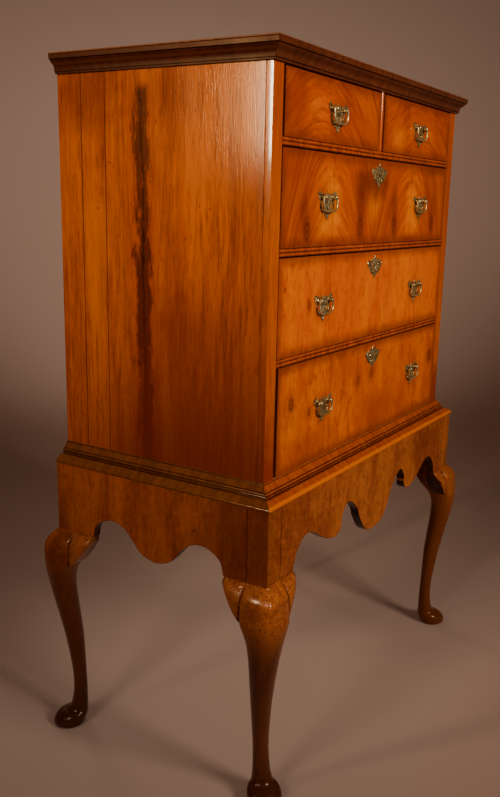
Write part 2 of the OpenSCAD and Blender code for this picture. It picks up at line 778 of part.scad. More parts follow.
// Outline of a keyhole plate, right half, drawn 40 wide and 28 high
key_edge = concat(
    smooth([[0, 28], [4, 20], [9, 17], [14, 20], [20, 17], [25, 12], [31, 15], [37, 14], [40, 7]], 3),
    smooth([[38, 1], [31, -2], [28, -8], [21, -14], [10, -17]], 3),
    smooth([[7, -19], [5, -23], [0, -28]], 2));

module keyplate(o) {
    kx = key_plate_w / 40;
    kz = key_plate_half / 28;
    color(old_brass) translate([o[5], case_front, key_z(o)]) difference() {
        rotate([90, 0, 0]) linear_extrude(plate_t)
            polygon(both_sides([for (p = key_edge) [p[0] * kx, p[1] * kz]]));
        keyhole(-plate_t - 1, 1);
        for (side = [-1, 1]) {
            for (p = [[33, 9, 2.3], [17, 6, 3], [11, -9, 1.8]])
                translate([side * p[0] * kx, 1, p[1] * kz])
                    rotate([90, 0, 0]) cylinder(r = p[2] * kx, h = plate_t + 2);
        }
    }
}

lock_y = front_back - lock_let;
bolt_y = lock_y + 1.2 + bolt_fit;

module lock(o) {
    slot = bolt_w / 2 + bolt_fit;
    color(old_iron) translate([o[5], 0, 0]) difference() {
        box([-lock_w / 2, lock_y, head_of(o) - lock_h], [lock_w / 2, lock_y + lock_t, head_of(o)]);
        box([-slot, bolt_y - bolt_fit, head_of(o) - bolt_h - 1], [slot, bolt_y + bolt_t + bolt_fit, head_of(o) + 1]);
        translate([0, 0, key_z(o)]) keyhole(lock_y - 1, lock_y + 5);
    }
}

module lock_bolt(o) {
    color(old_brass) translate([o[5], 0, 0])
        box([-bolt_w / 2, bolt_y, head_of(o) - bolt_h - 0.5], [bolt_w / 2, bolt_y + bolt_t, head_of(o) - 0.5]);
}

mirror([1, 0, 0]) case_side();  // side_left
case_side();  // side_right
case_top();
case_bottom();
back_boards();
stiles();
drawer_rails();
rail_beads();
top_divider();
runners_and_guides();
drawer_stops();
cornice();
waist_moulding();
leg(-1, -1, lean_in);  // leg_front_left
leg(1, -1);  // leg_front_right
leg(-1, 1);  // leg_back_left
leg(1, 1);  // leg_back_right
knee_blocks();
apron_front();
mirror([1, 0, 0]) apron_side();  // apron_left
apron_side();  // apron_right
back_rail();
bearers();
drawer_front(TOP_LEFT);  // top_left_front
drawer_box(TOP_LEFT);  // top_left_box
drawer_bottom(TOP_LEFT);  // top_left_bottom
backplates(TOP_LEFT);  // top_left_backplate
bail(TOP_LEFT, 0);  // top_left_bail
drawer_front(TOP_RIGHT);  // top_right_front
drawer_box(TOP_RIGHT);  // top_right_box
drawer_bottom(TOP_RIGHT);  // top_right_bottom
backplates(TOP_RIGHT);  // top_right_backplate
bail(TOP_RIGHT, 0);  // top_right_bail
drawer_front(UPPER);  // upper_front
drawer_box(UPPER);  // upper_box
drawer_bottom(UPPER);  // upper_bottom
backplates(UPPER);  // upper_backplates
bail(UPPER, 0);  // upper_bail_left
bail(UPPER, 1);  // upper_bail_right
keyplate(UPPER);  // upper_keyplate
lock(UPPER);  // upper_lock
lock_bolt(UPPER);  // upper_bolt
drawer_front(MIDDLE);  // middle_front
drawer_box(MIDDLE);  // middle_box
drawer_bottom(MIDDLE);  // middle_bottom
backplates(MIDDLE);  // middle_backplates
bail(MIDDLE, 0);  // middle_bail_left
bail(MIDDLE, 1);  // middle_bail_right
keyplate(MIDDLE);  // middle_keyplate
lock(MIDDLE);  // middle_lock
lock_bolt(MIDDLE);  // middle_bolt
drawer_front(LOWER);  // lower_front
drawer_box(LOWER);  // lower_box
drawer_bottom(LOWER);  // lower_bottom
backplates(LOWER);  // lower_backplates
bail(LOWER, 0);  // lower_bail_left
bail(LOWER, 1);  // lower_bail_right
keyplate(LOWER);  // lower_keyplate
lock(LOWER);  // lower_lock
lock_bolt(LOWER);  // lower_bolt
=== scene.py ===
# %% [markdown]
# # A tall walnut chest of drawers on its stand
# The carpentry of this chest comes ready made from the CAD model: every board, drawer,
# moulding, leg and brass is already at its right size and place. Blender's part is what a
# finisher would do: take the hard edge off each piece, round the carved legs, tool the
# brasses, and give each surface its veneer, polish, wear and dirt.
# The first step is to fetch the CAD model.

# %% Fetch the CAD model
import json
import math
import bpy
import bmesh
from mathutils import Matrix, Vector

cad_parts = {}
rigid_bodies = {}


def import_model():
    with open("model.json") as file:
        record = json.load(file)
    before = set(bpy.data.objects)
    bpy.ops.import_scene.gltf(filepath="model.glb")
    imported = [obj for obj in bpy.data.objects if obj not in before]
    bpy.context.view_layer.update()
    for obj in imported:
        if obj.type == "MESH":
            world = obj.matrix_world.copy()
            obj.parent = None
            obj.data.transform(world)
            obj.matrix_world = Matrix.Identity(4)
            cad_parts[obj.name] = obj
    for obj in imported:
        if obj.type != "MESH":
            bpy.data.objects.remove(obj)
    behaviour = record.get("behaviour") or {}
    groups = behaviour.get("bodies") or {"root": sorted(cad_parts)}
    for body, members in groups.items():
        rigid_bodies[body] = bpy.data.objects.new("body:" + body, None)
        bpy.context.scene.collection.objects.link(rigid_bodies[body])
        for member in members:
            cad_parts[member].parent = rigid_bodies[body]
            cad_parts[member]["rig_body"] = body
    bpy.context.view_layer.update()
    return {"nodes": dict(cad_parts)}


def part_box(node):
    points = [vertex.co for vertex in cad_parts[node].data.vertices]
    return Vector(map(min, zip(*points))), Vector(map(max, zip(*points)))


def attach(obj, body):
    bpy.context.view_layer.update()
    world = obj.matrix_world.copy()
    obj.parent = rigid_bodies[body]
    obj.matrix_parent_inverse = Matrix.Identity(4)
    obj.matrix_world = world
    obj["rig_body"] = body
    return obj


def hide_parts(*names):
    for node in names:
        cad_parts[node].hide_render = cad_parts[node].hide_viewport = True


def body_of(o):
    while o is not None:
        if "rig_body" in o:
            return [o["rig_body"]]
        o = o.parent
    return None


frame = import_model()
scene = bpy.context.scene

# %% [markdown]
# ## Where the viewer stands
# The chest is seen from its front left corner, a little above the middle of the case, so
# the side and the front both show. Turning the camera with three angles is easy to follow:
# yaw round the room, pitch down towards the stand, and a slight roll. A short lens from
# close by gives the strong taper of the front towards its far end.

# %% Camera
EYE = Vector((-1.8492, -1.0964, 1.2654))
YAW, PITCH, ROLL = (math.radians(a) for a in (59.334, -13.104, 1.660))
LENS, LENS_SHIFT = 38.22, (-0.0371, 0.0017)

camera = bpy.data.objects.new("viewer", bpy.data.cameras.new("viewer"))
scene.collection.objects.link(camera)
ahead = Vector((math.sin(YAW) * math.cos(PITCH), math.cos(YAW) * math.cos(PITCH),
                math.sin(PITCH)))
level = ahead.cross(Vector((0, 0, 1))).normalized()
across = level * math.cos(ROLL) + level.cross(ahead) * math.sin(ROLL)
turn = Matrix((across, across.cross(ahead), -ahead)).transposed().to_4x4()
camera.matrix_world = Matrix.Translation(EYE) @ turn
camera.data.sensor_width, camera.data.lens = 36, LENS
camera.data.shift_x, camera.data.shift_y = LENS_SHIFT
scene.camera = camera
print("camera at", tuple(round(c, 2) for c in EYE))

# %% [markdown]
# ## The room
# A plain pale floor that sweeps up into a wall has no corner that would draw the eye. It is
# a half profile, floor then curve then wall, turned once round the middle of the room, which
# spin does in one call. It is wide enough for the viewer to walk round the chest inside it.

# %% Floor and wall in one sweep
SWEEP_IN, SWEEP_OUT, SWEEP_UP = 3.0, 4.8, 4.2
SWEEP_STEPS = 72
PAPER = (0.47, 0.315, 0.245, 1)

sweep = bpy.data.objects.new("floor_sweep", bpy.data.meshes.new("floor_sweep"))
scene.collection.objects.link(sweep)
bm = bmesh.new()
bend = SWEEP_OUT - SWEEP_IN
profile = [(0.02, 0.0), (SWEEP_IN, 0.0)]
for degrees in range(10, 91, 10):
    lean = math.radians(degrees)
    profile.append((SWEEP_IN + bend * math.sin(lean), bend - bend * math.cos(lean)))
profile.append((SWEEP_OUT, SWEEP_UP))
line = [bm.verts.new((across_floor, 0, up)) for across_floor, up in profile]
edges = [bm.edges.new(pair) for pair in zip(line, line[1:])]
bmesh.ops.spin(bm, geom=line + edges, cent=(0, 0, 0), axis=(0, 0, 1), angle=math.tau,
               steps=SWEEP_STEPS, use_merge=True)
floor_rim = [e for e in bm.edges if e.is_boundary and e.verts[0].co.z < 0.1]
bmesh.ops.holes_fill(bm, edges=floor_rim, sides=0)
bmesh.ops.recalc_face_normals(bm, faces=bm.faces)
if bm.faces[0].normal.z < 0:
    bmesh.ops.reverse_faces(bm, faces=bm.faces)
bm.to_mesh(sweep.data)
bm.free()
sweep.data.shade_smooth()

paper = bpy.data.materials.new("pale_paper")
paper.use_nodes = True
shade = paper.node_tree.nodes["Principled BSDF"]
shade.inputs["Base Color"].default_value = PAPER
shade.inputs["Roughness"].default_value = 0.7
shade.inputs["Specular IOR Level"].default_value = 0.2
sweep.data.materials.append(paper)
print("sweep radius", SWEEP_OUT, "m")

# %% [markdown]
# ## The lamps
# Soft lamps show the polish. One stands before the drawers, a second to the left of the
# side, and a small warm one further back gives the gloss down the side's front edge. A
# fourth lights the wall only, and a faint one from behind lifts the floor. Area lamps are
# chosen over a sun because their size decides how soft the shadows are. A grid on each
# narrows its beam, so the light pools on the chest and fades towards the corners. The air
# gives a dim warm fill, so that the shadows keep their colour.

# %% Air and lamps
air = bpy.data.worlds.new("studio_air")
air.use_nodes = True
fill = air.node_tree.nodes["Background"]
fill.inputs["Color"].default_value = (0.60, 0.44, 0.34, 1)
fill.inputs["Strength"].default_value = 0.17
scene.world = air


def lamp(name, at, towards, watts, size, beam, tint=(1, 0.90, 0.80)):
    """A soft lamp of that width and height, turned towards a point; its beam is in degrees."""
    light = bpy.data.lights.new(name, "AREA")
    light.shape = "RECTANGLE"
    light.size, light.size_y = size
    light.energy, light.color = watts, tint
    light.spread = math.radians(beam)
    holder = bpy.data.objects.new(name, light)
    holder.location = at
    holder.visible_camera = False
    holder.rotation_euler = (Vector(towards) - Vector(at)).to_track_quat("-Z", "Y").to_euler()
    scene.collection.objects.link(holder)


lamp("front_lamp", (-0.6, -3.2, 2.3), (0, 0, 1.25), 16.5, (1.0, 1.0), 64)
lamp("left_lamp", (-3.2, -0.1, 2.3), (0, 0, 1.22), 6.8, (0.8, 0.8), 58)
lamp("edge_lamp", (-2.55, 0.88, 1.72), (-0.475, -0.2, 1.35), 4.6, (0.2, 0.5), 60, (1, 0.80, 0.55))
lamp("wall_lamp", (1.2, 0.9, 1.0), (4, 3, 2.0), 24, (1.0, 1.0), 120)
lamp("back_lamp", (1.1, 3.0, 2.5), (0, 0.1, 1.0), 1.8, (1.0, 1.0), 64)

# %% [markdown]
# ## A bench for mixing finishes
# Every finish below is a small network of shader nodes. Wiring nodes by hand is wordy, so
# this helper keeps one network and offers it in a maker's terms: noise, streaks, a blend of
# two tones. All patterns are measured from the object's own origin, in metres, so that they
# stay on the wood when a drawer slides out.

# %% The mixing bench
class Finish:
    """One material and the nodes that are added to it."""

    def __init__(self, name):
        self.material = bpy.data.materials.new(name)
        self.material.use_nodes = True
        self.tree = self.material.node_tree
        self.shader = self.tree.nodes["Principled BSDF"]
        self.place = self.tree.nodes.new("ShaderNodeTexCoord").outputs["Object"]

    def feed(self, socket, value):
        """Puts a number, a colour or another node's output into a socket."""
        if isinstance(value, bpy.types.NodeSocket):
            self.tree.links.new(value, socket)
        elif socket.type == "RGBA" and len(value) == 3:
            socket.default_value = (*value, 1)
        else:
            socket.default_value = value

    def math(self, kind, a, b=0.0):
        node = self.tree.nodes.new("ShaderNodeMath")
        node.operation = kind
        for socket, value in zip(node.inputs, (a, b)):
            self.feed(socket, value)
        return node.outputs[0]

    def centred(self, value, amount):
        """A noise of zero to one made to swing both ways by that amount."""
        return self.math("MULTIPLY", self.math("SUBTRACT", value, 0.5), amount)

    def axes(self, vector):
        node = self.tree.nodes.new("ShaderNodeSeparateXYZ")
        self.feed(node.inputs[0], vector)
        return node.outputs

    def point(self, x, y, z):
        node = self.tree.nodes.new("ShaderNodeCombineXYZ")
        for socket, value in zip(node.inputs, (x, y, z)):
            self.feed(socket, value)
        return node.outputs[0]

    def placed(self, vector, scale=(1, 1, 1), shift=(0, 0, 0)):
        node = self.tree.nodes.new("ShaderNodeMapping")
        self.feed(node.inputs["Vector"], vector)
        node.inputs["Scale"].default_value = scale
        node.inputs["Location"].default_value = shift
        return node.outputs[0]

    def noise(self, vector, scale, detail=4.0, rough=0.5, bend=0.0, colour=False):
        node = self.tree.nodes.new("ShaderNodeTexNoise")
        self.feed(node.inputs["Vector"], vector)
        settings = (("Scale", scale), ("Detail", detail), ("Roughness", rough),
                    ("Distortion", bend))
        for name, value in settings:
            node.inputs[name].default_value = value
        return node.outputs["Color" if colour else "Fac"]

    def step(self, value, low, high, out_low=0.0, out_high=1.0):
        """Zero below low, one above high, smooth between; or the two other limits given."""
        node = self.tree.nodes.new("ShaderNodeMapRange")
        node.interpolation_type = "SMOOTHSTEP"
        limits = (("From Min", low), ("From Max", high), ("To Min", out_low), ("To Max", out_high))
        for name, number in limits:
            node.inputs[name].default_value = number
        self.feed(node.inputs["Value"], value)
        return node.outputs[0]

    def blend(self, amount, first, second):
        node = self.tree.nodes.new("ShaderNodeMix")
        node.data_type = "RGBA"
        sockets = (node.inputs[0], node.inputs[6], node.inputs[7])
        for socket, value in zip(sockets, (amount, first, second)):
            self.feed(socket, value)
        return node.outputs[2]

    def bump(self, height, depth, strength=0.5, under=None):
        node = self.tree.nodes.new("ShaderNodeBump")
        node.inputs["Distance"].default_value = depth
        node.inputs["Strength"].default_value = strength
        self.feed(node.inputs["Height"], height)
        if under is not None:
            self.feed(node.inputs["Normal"], under)
        return node.outputs[0]


print("bench ready")

# %% [markdown]
# ## Old polished walnut
# Walnut shows its age in layers. Broad drifts of light and dark follow the trunk; growth
# lines run along the board as fine streaks; open pores are short dark dashes; and two
# centuries of wax, smoke and hands leave a darker, redder skin that is thin where it has
# been rubbed. A printed pattern could be wrapped round each board, but it would repeat
# and show its seams. Noise stretched along the grain gives each board its own face, and
# one recipe serves every piece with other tones and another direction.

# %% Walnut recipe
def grain(finish, tones, where, streak=0.4, drift=10, lines=80):
    """Bare walnut: drifts, growth lines and pores. Returns its colour and its fine height."""
    light, middle, dark = tones
    broad = finish.noise(where, drift, 3, 0.55, 0.4)
    colour = finish.blend(finish.step(broad, 0.40, 0.60), light, middle)
    rings = finish.noise(where, lines, 5, 0.68, 0.25)
    colour = finish.blend(finish.step(rings, 0.48, 0.68, 0, streak), colour, dark)
    paler = tuple(1.2 * c for c in light)
    colour = finish.blend(finish.step(rings, 0.46, 0.34, 0, streak), colour, paler)
    pores = finish.noise(where, 420, 2, 0.5)
    colour = finish.blend(finish.step(pores, 0.54, 0.68, 0, 0.40), colour, dark)
    return colour, finish.math("ADD", finish.math("MULTIPLY", rings, 0.5), pores)


def polish(finish, colour, height, rough=(0.26, 0.42), coat=0.08, depth=0.0003, skin=0.12,
           rubbed=(1, 1, 1), relief=0.35):
    """Wax over the wood: uneven gloss, a clear skin, and pores that catch the light."""
    smears = finish.noise(finish.placed(finish.place, rubbed), 11, 5, 0.6)
    finish.feed(finish.shader.inputs["Base Color"], colour)
    finish.feed(finish.shader.inputs["Roughness"], finish.step(smears, 0.3, 0.7, *rough))
    waves = finish.noise(finish.place, 6, 2, 0.5)
    soft = finish.bump(waves, 0.0015, 0.2)
    finish.feed(finish.shader.inputs["Normal"], finish.bump(height, depth, relief, soft))
    finish.shader.inputs["Coat Weight"].default_value = coat
    finish.shader.inputs["Coat Roughness"].default_value = skin
    finish.shader.inputs["Coat Tint"].default_value = (1.0, 0.80, 0.55, 1)
    finish.shader.inputs["Specular IOR Level"].default_value = 0.2
    finish.shader.inputs["Specular Tint"].default_value = (1.0, 0.62, 0.30, 1)
    return finish.material


def oval(finish, u, v, at, size):
    """Distance from the centre of an oval, one at its rim."""
    du = finish.math("DIVIDE", finish.math("SUBTRACT", u, at[0]), size[0])
    dv = finish.math("DIVIDE", finish.math("SUBTRACT", v, at[1]), size[1])
    squares = finish.math("ADD", finish.math("MULTIPLY", du, du), finish.math("MULTIPLY", dv, dv))
    return finish.math("SQRT", squares)


def clouds(finish, colour, u, v, patches):
    """Soft drifts of another tone with ragged rims: centre, half size, tone, strength."""
    ragged = finish.centred(finish.noise(finish.place, 16, 4, 0.65), 1.6)
    for at, size, tone, strength in patches:
        away = finish.math("ADD", oval(finish, u, v, at, size), ragged)
        colour = finish.blend(finish.step(away, 0.2, 1.2, strength, 0), colour, tone)
    return colour


ORANGE = ((0.66, 0.125, 0.0), (0.50, 0.075, 0.0), (0.22, 0.024, 0.0))
GLOW = (0.80, 0.19, 0.0)
EMBER = (0.30, 0.034, 0.002)
UMBER = (0.10, 0.012, 0.002)
JOINT_LINE = (0.06, 0.008, 0.002)
BORDER_DIRT_AND_SHADE = (0.15, 0.018, 0.0)
print("walnut tones ready")

# %% [markdown]
# ## Softening the CAD pieces
# A CAD solid has knife edges, and nothing looks more like a computer drawing. Edges on old
# furniture are rounded by handling, by a fraction of a millimetre up to a few. The bevel
# operator does this on a copy of each CAD mesh, whose loose triangles are first merged and
# joined into flat faces. Only edges that really turn are bevelled, and the curved mouldings
# are shaded smooth by the same angle.

# %% Dress one piece
pieces = {}


def own(node, mesh, body):
    """Puts a finished mesh in the scene in place of its CAD node."""
    piece = bpy.data.objects.new(node + ".dressed", mesh)
    scene.collection.objects.link(piece)
    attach(piece, body)
    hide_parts(node)
    pieces[node] = piece
    return piece


def flat_faces_first(piece):
    """Shading follows the large flat faces, so a rounded edge doesn't bend light across a board."""
    even = piece.modifiers.new("even_shading", "WEIGHTED_NORMAL")
    even.mode = "FACE_AREA"
    even.weight = 50
    even.keep_sharp = True
    return piece


MERGE_WITHIN, FLAT_WITHIN, SMOOTH_UP_TO, CARVED_UP_TO = 1e-6, 0.5, 38, 46
BODY = {node: body_of(thing)[0] for node, thing in frame["nodes"].items()}


def softened(node, width, turn=30, rounds=2):
    """A copy of the CAD mesh with merged corners and rounded edges."""
    bm = bmesh.new()
    bm.from_mesh(frame["nodes"][node].data)
    bmesh.ops.remove_doubles(bm, verts=bm.verts, dist=MERGE_WITHIN)
    bmesh.ops.dissolve_limit(bm, angle_limit=math.radians(FLAT_WITHIN), verts=bm.verts,
                             edges=bm.edges)
    if width:
        sharp = [e for e in bm.edges
                 if len(e.link_faces) == 2 and e.calc_face_angle() > math.radians(turn)]
        bmesh.ops.bevel(bm, geom=sharp, offset=width, offset_type="OFFSET", segments=rounds,
                        profile=0.5, affect="EDGES", material=-1, clamp_overlap=True)
    mesh = bpy.data.meshes.new(node + ".dressed")
    bm.to_mesh(mesh)
    bm.free()
    mesh.shade_smooth()
    mesh.set_sharp_from_angle(angle=math.radians(SMOOTH_UP_TO))
    return mesh


def dress(node, material, width=0.0008, **more):
    """Rounds a CAD piece's edges by that width, finishes it and puts it in the scene."""
    mesh = softened(node, width, **more)
    mesh.materials.append(material)
    return flat_faces_first(own(node, mesh, BODY[node]))


def refinish(piece, material, here):
    """Gives the faces whose middle and direction pass a test another finish."""
    piece.data.materials.append(material)
    for face in piece.data.polygons:
        if here(face.center, face.normal):
            face.material_index = len(piece.data.materials) - 1


# %% [markdown]
# ## Veneered drawer fronts
# The five drawer fronts carry the chest's best wood. Thin leaves of veneer cut one after
# the other from a crotch are opened like a book, so the figure mirrors at each joint: two
# leaves on a short drawer, four on the upper long one, while the two lower drawers are of
# plainer leaves with knots. Mirroring costs one node: the distance from a joint, taken
# without its sign, is the same on both sides. Feather-like arches come from bending the
# growth lines with the square of that distance. Each knot is a small oval of darker rings
# in a soft halo. The wood is darker round each brass, both dirt where cloths don't reach
# and a painted shadow of the brass, and its borders are darker with wax, dirt and painted
# shade beside the gaps.

# %% Knots and veneer joints
def add_knots(finish, colour, x, z, knots):
    """Dark ovals with growth rings, each in a paler halo."""
    for at, size, strength in knots:
        away = oval(finish, x, z, at, size)
        rings = finish.math("SINE", finish.math("MULTIPLY", away, 15))
        colour = finish.blend(finish.step(away, 2.4, 1.2, 0, 0.35), colour, EMBER)
        eye = finish.math("MULTIPLY", finish.step(away, 0.5, 1.25, strength, 0),
                          finish.step(rings, -1, 1, 0.5, 1.0))
        colour = finish.blend(eye, colour, UMBER)
    return colour


def add_joints(finish, colour, across, joints, half=0.0016, strength=0.6):
    """Fine dark lines where two leaves or two boards meet."""
    for joint in joints:
        away = finish.math("ABSOLUTE", finish.math("SUBTRACT", across, joint))
        colour = finish.blend(finish.step(away, 0.0004, half, strength, 0), colour, JOINT_LINE)
    return colour


def edge_dirt_and_shade(finish, colour, x, z, low, high, reach=0.028):
    """Darker borders on a drawer front: wax and dirt, and painted shade beside the gaps."""
    near = []
    for value, a, b in ((x, low[0], high[0]), (z, low[2], high[2])):
        near.append(finish.math("MINIMUM", finish.math("SUBTRACT", value, a),
                                finish.math("SUBTRACT", b, value)))
    ragged = finish.centred(finish.noise(finish.place, 26, 3, 0.6), 0.02)
    edge = finish.math("ADD", finish.math("MINIMUM", *near), ragged)
    return finish.blend(finish.step(edge, 0.0, reach, 0.68, 0), colour, BORDER_DIRT_AND_SHADE)


PLATE_HALF = 0.041


def brasses(node):
    """The middles of the backplates on a drawer front, in x and z."""
    drawer = node.removesuffix("_front")
    plates = drawer + ("_backplate" if drawer.startswith("top") else "_backplates")
    low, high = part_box(plates)
    z = (low[2] + high[2]) / 2
    if drawer.startswith("top"):
        return [((low[0] + high[0]) / 2, z)]
    return [(low[0] + PLATE_HALF, z), (high[0] - PLATE_HALF, z)]


def veneer(name, node, mirror_at=None, plume=0.0, tones=ORANGE, knots=(), joints=(),
           patches=()):
    """The finish of one drawer front."""
    finish = Finish(name)
    x, _, z = finish.axes(finish.place)
    wander = finish.centred(finish.noise(finish.place, 7, 3, 0.5), 0.05)
    if mirror_at:
        # distance from the nearest mirror joint
        away = [finish.math("ABSOLUTE", finish.math("SUBTRACT", x, m)) for m in mirror_at]
        fold = away[0]
        for other in away[1:]:
            fold = finish.math("MINIMUM", fold, other)
        arch = finish.math("MULTIPLY", finish.math("MULTIPLY", fold, fold), plume)
        lift = finish.math("ADD", finish.math("ADD", z, arch), wander)
        feather = finish.point(finish.math("MULTIPLY", fold, 0.16), 0.0, lift)
        colour, height = grain(finish, tones, feather, 0.50, 9, 95)
        flare = finish.point(finish.math("MULTIPLY", fold, 0.22), 0.3, lift)
        bands = finish.noise(flare, 60, 4, 0.66)
        colour = finish.blend(finish.step(bands, 0.49, 0.60, 0, 0.62), colour, tones[2])
        colour = finish.blend(finish.step(bands, 0.46, 0.36, 0, 0.15), colour, GLOW)
        # dark flanks on both sides of the plume
        flank = finish.math("ADD", fold, finish.math("MULTIPLY", wander, 1.5))
        heart = finish.step(flank, 0.03, 0.12)
        colour = finish.blend(finish.math("MULTIPLY", heart, 0.35), colour, tones[2])
    else:
        drifted = finish.placed(finish.point(finish.math("ADD", x, wander), 0.0, z), (1, 1, 0.14))
        colour, height = grain(finish, tones, drifted, 0.34, 8)
        mottle = finish.noise(finish.placed(finish.place, (1, 1, 0.5)), 46, 4, 0.7, 0.6)
        colour = finish.blend(finish.step(mottle, 0.52, 0.62, 0, 0.45), colour, tones[2])
        colour = finish.blend(finish.step(mottle, 0.45, 0.38, 0, 0.25), colour, GLOW)
    blotch = finish.noise(finish.place, 5.5, 4, 0.6, 0.5)
    colour = finish.blend(finish.step(blotch, 0.46, 0.62, 0, 0.45), colour, tones[1])
    colour = clouds(finish, colour, x, z, patches)
    # dark halos round the brasses: dirt where polishing cloths don't reach, and a painted shadow of
    # each brass
    for middle in brasses(node):
        halo = oval(finish, x, z, middle, (0.045, 0.042))
        colour = finish.blend(finish.step(halo, 0.35, 1.15, 0.4, 0), colour, UMBER)
    colour = add_knots(finish, colour, x, z, knots)
    colour = add_joints(finish, colour, x, joints)
    # darker borders: wax and dirt, with painted shade beside the gaps
    colour = edge_dirt_and_shade(finish, colour, x, z, *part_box(node))
    specks = finish.noise(finish.place, 170, 2, 0.5)
    colour = finish.blend(finish.step(specks, 0.68, 0.74, 0, 0.6), colour, UMBER)
    return polish(finish, colour, height, coat=0.05)


PLUME = ((0.58, 0.098, 0.0), (0.43, 0.056, 0.0), (0.19, 0.018, 0.0))
DUSK = (0.13, 0.014, 0.001)
BRIGHT = ((0.70, 0.135, 0.0), (0.60, 0.090, 0.0), (0.36, 0.040, 0.0))

# where the leaves mirror, and each knot and patch: centre in x and z, half size, then strength
UPPER_MIRRORS = (-0.223, 0.199)
left_middle = sum(corner[0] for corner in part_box("top_left_front")) / 2
right_middle = sum(corner[0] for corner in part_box("top_right_front")) / 2
FRONTS = {
    "top_left": veneer(
        "walnut_top_left", "top_left_front", (left_middle - 0.05,), 3.0, tones=PLUME,
        patches=(((-0.39, 1.44), (0.06, 0.08), EMBER, 0.7),
                 ((-0.20, 1.43), (0.08, 0.05), EMBER, 0.4))),
    "top_right": veneer(
        "walnut_top_right", "top_right_front", (right_middle + 0.02,), 2.0, tones=PLUME,
        patches=(((0.10, 1.42), (0.05, 0.05), GLOW, 0.4),)),
    "upper": veneer(
        "walnut_upper", "upper_front", UPPER_MIRRORS, 8.0, tones=PLUME,
        knots=(((-0.333, 1.210), (0.017, 0.032), 0.9), ((-0.089, 1.217), (0.020, 0.032), 0.85),
               ((0.102, 1.218), (0.018, 0.030), 0.9), ((0.348, 1.221), (0.018, 0.028), 0.85)),
        joints=(UPPER_MIRRORS[0], -0.012, UPPER_MIRRORS[1]),
        patches=(((-0.24, 1.26), (0.060, 0.075), GLOW, 0.75),
                 ((0.21, 1.26), (0.055, 0.07), GLOW, 0.65),
                 ((-0.02, 1.27), (0.045, 0.05), GLOW, 0.35),
                 ((-0.40, 1.34), (0.08, 0.05), EMBER, 0.7),
                 ((-0.345, 1.25), (0.020, 0.055), DUSK, 0.6),
                 ((0.095, 1.26), (0.024, 0.060), DUSK, 0.65),
                 ((-0.085, 1.27), (0.030, 0.060), DUSK, 0.75),
                 ((0.35, 1.26), (0.020, 0.05), DUSK, 0.45),
                 ((-0.03, 1.315), (0.10, 0.045), DUSK, 0.8),
                 ((0.35, 1.36), (0.12, 0.02), DUSK, 0.4))),
    "middle": veneer(
        "walnut_middle", "middle_front", tones=BRIGHT,
        knots=(((-0.413, 1.099), (0.004, 0.005), 0.9), ((-0.313, 1.061), (0.007, 0.014), 0.85)),
        joints=(-0.222, 0.264)),
    "lower": veneer(
        "walnut_lower", "lower_front",
        knots=(((-0.375, 0.860), (0.014, 0.020), 0.85), ((0.013, 0.866), (0.014, 0.016), 0.7),
               ((-0.059, 0.860), (0.012, 0.018), 0.7), ((0.401, 0.857), (0.018, 0.022), 0.85),
               ((-0.296, 0.829), (0.009, 0.012), 0.8)),
        joints=(-0.200,),
        patches=(((0.08, 0.76), (0.16, 0.07), EMBER, 0.6),
                 ((-0.3, 0.75), (0.16, 0.05), EMBER, 0.5),
                 ((-0.10, 0.90), (0.12, 0.04), EMBER, 0.4),
                 ((-0.36, 0.82), (0.06, 0.06), GLOW, 0.3))),
}
for drawer, material in FRONTS.items():
    dress(drawer + "_front", material, 0.0014)
print("drawer fronts:", list(FRONTS))

# %% [markdown]
# ## The case: side boards, stiles and top
# Each side is glued up from three upright boards, and the joints have opened to fine dark
# lines. One board keeps a long dark streak of heartwood. Towards the foot, and higher up
# towards the back, the side is painted darker, as shade where the light falls off. The
# stiles at the front are plain straight-grained strips. All of them share one recipe, and
# the streak is a narrow band whose edge is frayed with stretched noise.

# %% Side boards and stiles
STREAK_STAIN = (0.20, 0.024, 0.002)
STREAK_HEART = (0.050, 0.008, 0.002)
STREAK_CRACK = (0.02, 0.003, 0.001)


def heartwood(finish, colour, y, z, at, dark):
    """A dark frayed band of heartwood up a board, with a crack in it, ending below the cornice."""
    dashes = finish.noise(finish.placed(finish.place, (1, 1, 0.06)), 120, 4, 0.7)
    colour = finish.blend(finish.step(dashes, 0.54, 0.64, 0, 0.36), colour, dark)
    frayed = finish.noise(finish.placed(finish.place, (1, 1, 0.30)), 40, 5, 0.75)
    frayed = finish.centred(frayed, 0.085)
    middle = finish.math("ADD", finish.math("MULTIPLY", z, 0.0111), at)
    away = finish.math("SUBTRACT", y, middle)
    band = finish.math("ADD", finish.math("ABSOLUTE", away), frayed)
    split = finish.math("ABSOLUTE", finish.math("ADD", away, finish.math("MULTIPLY", frayed, 0.55)))
    below = finish.step(z, 1.47, 1.495, 1, 0)
    for edge, tone in ((finish.step(band, 0.0, 0.060, 0.75, 0), STREAK_STAIN),
                       (finish.step(band, 0.010, 0.024, 0.9, 0), STREAK_HEART),
                       (finish.step(split, 0.0012, 0.0045, 0.9, 0), STREAK_CRACK)):
        colour = finish.blend(finish.math("MULTIPLY", edge, below), colour, tone)
    return colour


